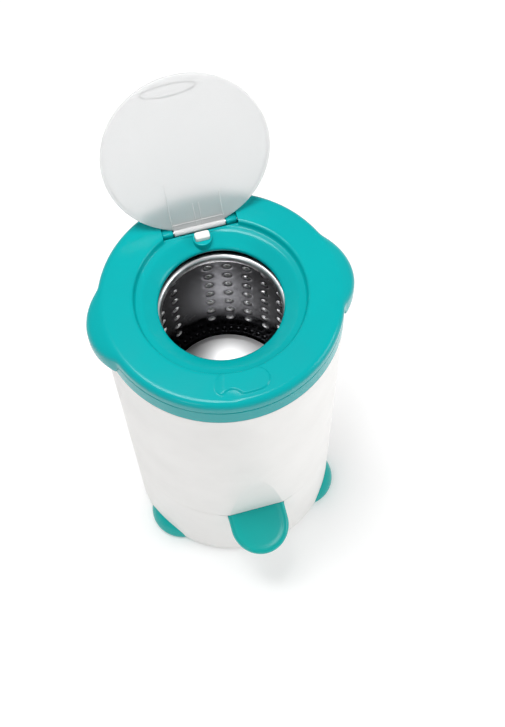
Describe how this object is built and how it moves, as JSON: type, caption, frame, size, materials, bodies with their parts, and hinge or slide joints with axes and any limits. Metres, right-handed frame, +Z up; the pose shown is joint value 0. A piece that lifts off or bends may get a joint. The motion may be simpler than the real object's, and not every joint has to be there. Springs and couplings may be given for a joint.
{
  "type": "spin dryer",
  "caption": "Upright cylindrical laundry spin dryer with a hinged frosted lid, perforated drum, drain spout and moulded feet.",
  "frame": {"origin": "floor point under the drum axis, at the centre of the part's footprint box", "axes": "+Z up along the drum axis, -Y towards the drain spout (front), +Y towards the lid hinge (rear), X across the two side grips"},
  "size_m": [0.4102, 0.4894, 0.865],
  "materials": {
    "casing_white": "satin",
    "teal_plastic": "satin",
    "teal_cover": "satin",
    "rubber_black": "matte",
    "screw_steel": "zinc plated",
    "frosted_lid": "frosted translucent",
    "pin_steel": "ground",
    "white_button": "gloss",
    "spring_steel": "drawn wire",
    "grey_plastic": "matte",
    "switch_black": "satin",
    "pan_plastic": "matte",
    "zinc_plate": "zinc plated sheet",
    "cast_aluminium": "as cast",
    "bearing_steel": "ground",
    "motor_paint": "satin",
    "core_steel": "laminated",
    "copper_enamel": "varnished",
    "drum_stainless": "polished"
  },
  "bodies": {
    "cabinet": {"outer_casing": "casing_white", "base": "casing_white", "base_posts": "casing_white", "foot_left": "teal_plastic", "foot_right": "teal_plastic", "foot_rear": "teal_plastic", "foot_pads": "rubber_black", "spout": "teal_plastic", "collar_ring": "teal_plastic", "top_cover": "teal_cover", "cover_screws": "screw_steel", "hinge_pin": "pin_steel", "plunger_spring": "spring_steel", "switch_bracket": "grey_plastic", "lid_switch": "switch_black", "drain_pan": "pan_plastic", "shaft_seal": "rubber_black", "motor_mounts": "rubber_black", "motor_bracket": "zinc_plate", "mount_bolts": "screw_steel", "motor_lower_bell": "cast_aluminium", "motor_upper_bell": "cast_aluminium", "lower_bearing": "bearing_steel", "upper_bearing": "bearing_steel", "motor_shell": "motor_paint", "motor_screws": "screw_steel", "stator_core": "core_steel", "windings": "copper_enamel", "capacitor": "cast_aluminium", "capacitor_clamp": "zinc_plate", "cord_inlet_bush": "rubber_black"},
    "drum": {"drum_shell": "drum_stainless", "drum_floor": "drum_stainless", "drum_hub": "cast_aluminium", "hub_nut": "screw_steel", "drum_shaft": "bearing_steel", "rotor": "core_steel"},
    "lid": {"lid": "frosted_lid"},
    "plunger": {"interlock_plunger": "white_button"}
  },
  "joints": [
    {"name": "drum_spin", "type": "hinge", "parent": "cabinet", "child": "drum", "pos_m": [0, 0, 0.4], "axis": [0, 0, 1], "continuous": true},
    {"name": "lid_hinge", "type": "hinge", "parent": "cabinet", "child": "lid", "pos_m": [0, 0.1265, 0.638], "axis": [1, 0, 0], "range_deg": [0, 117]},
    {"name": "plunger_slide", "type": "slide", "parent": "cabinet", "child": "plunger", "axis": [0, 0, -1], "range_m": [0, 0.008], "deforming": ["plunger_spring"]}
  ],
  "couplings": [
    {"joint": "plunger_slide", "follows": "lid_hinge", "m_per_rad": 0.00391}
  ]
}
